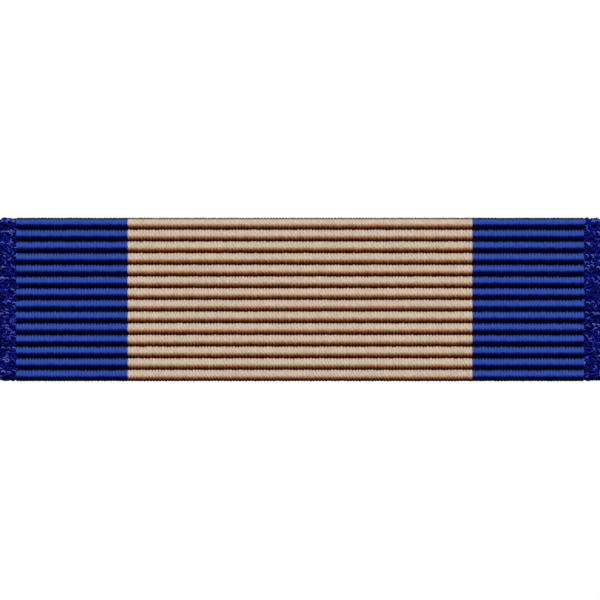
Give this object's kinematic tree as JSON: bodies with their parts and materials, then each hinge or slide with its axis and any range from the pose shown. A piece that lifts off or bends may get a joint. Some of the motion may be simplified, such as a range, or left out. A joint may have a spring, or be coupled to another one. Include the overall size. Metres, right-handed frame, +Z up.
{
  "type": "service ribbon bar",
  "caption": "Ribbed woven ribbon in blue, buff and blue on a brass blank that slides on a mounting bar with nail posts and pinch clutches.",
  "frame": {"origin": "middle of the mounting bar's rear face, which lies on the cloth, between the two posts", "axes": "+X along the ribbon to the right as it is seen from in front, +Y from the ribbon's front to the wearer, +Z up"},
  "size_m": [0.035, 0.0099, 0.0096],
  "materials": {
    "blue_yarn": "warp-faced ribbed weave, bright yarn",
    "buff_yarn": "warp-faced ribbed weave, bright yarn",
    "selvedge_yarn": "looped woven edge",
    "blank_brass": "rolled sheet, lightly tarnished",
    "bar_brass": "stamped sheet, brushed lengthways",
    "post_brass": "drawn wire, bright",
    "clutch_brass": "drawn sheet, satin",
    "wing_brass": "stamped sheet, worn bright at the ears",
    "spring_wire": "round spring wire"
  },
  "bodies": {
    "bar": {"mounting_bar": "bar_brass", "left_post": "post_brass", "right_post": "post_brass"},
    "ribbon": {"left_selvedge": "selvedge_yarn", "ribbon_left_blue_band": "blue_yarn", "ribbon_buff_band": "buff_yarn", "ribbon_right_blue_band": "blue_yarn", "right_selvedge": "selvedge_yarn", "ribbon_blank": "blank_brass"},
    "left_clutch": {"left_clutch_base": "clutch_brass", "left_clutch_cap": "clutch_brass", "left_clutch_spring": "spring_wire"},
    "left_outer_wing": {"left_clutch_outer_wing": "wing_brass"},
    "left_inner_wing": {"left_clutch_inner_wing": "wing_brass"},
    "right_clutch": {"right_clutch_base": "clutch_brass", "right_clutch_cap": "clutch_brass", "right_clutch_spring": "spring_wire"},
    "right_outer_wing": {"right_clutch_outer_wing": "wing_brass"},
    "right_inner_wing": {"right_clutch_inner_wing": "wing_brass"}
  },
  "joints": [
    {"name": "ribbon_slide", "type": "slide", "parent": "bar", "child": "ribbon", "axis": [1, 0, 0], "range_m": [-0.036, 0.036]},
    {"name": "left_clutch_pull", "type": "slide", "parent": "bar", "child": "left_clutch", "axis": [0, 1, 0], "range_m": [0, 0.008]},
    {"name": "left_outer_wing_pinch", "type": "hinge", "parent": "left_clutch", "child": "left_outer_wing", "pos_m": [-0.01192, 0.00415, 0], "axis": [0, 0, -1], "range_deg": [0, 10], "stiffness_Nm_per_rad": 0.000005, "deforming": ["left_clutch_spring"]},
    {"name": "left_inner_wing_pinch", "type": "hinge", "parent": "left_clutch", "child": "left_inner_wing", "pos_m": [-0.00713, 0.00415, 0], "axis": [0, 0, 1], "range_deg": [0, 10], "stiffness_Nm_per_rad": 0.000005},
    {"name": "right_clutch_pull", "type": "slide", "parent": "bar", "child": "right_clutch", "axis": [0, 1, 0], "range_m": [0, 0.008]},
    {"name": "right_outer_wing_pinch", "type": "hinge", "parent": "right_clutch", "child": "right_outer_wing", "pos_m": [0.01192, 0.00415, 0], "axis": [0, 0, 1], "range_deg": [0, 10], "stiffness_Nm_per_rad": 0.000005, "deforming": ["right_clutch_spring"]},
    {"name": "right_inner_wing_pinch", "type": "hinge", "parent": "right_clutch", "child": "right_inner_wing", "pos_m": [0.00713, 0.00415, 0], "axis": [0, 0, -1], "range_deg": [0, 10], "stiffness_Nm_per_rad": 0.000005}
  ],
  "couplings": [
    {"joint": "left_inner_wing_pinch", "follows": "left_outer_wing_pinch", "ratio": 1},
    {"joint": "right_inner_wing_pinch", "follows": "right_outer_wing_pinch", "ratio": 1}
  ]
}
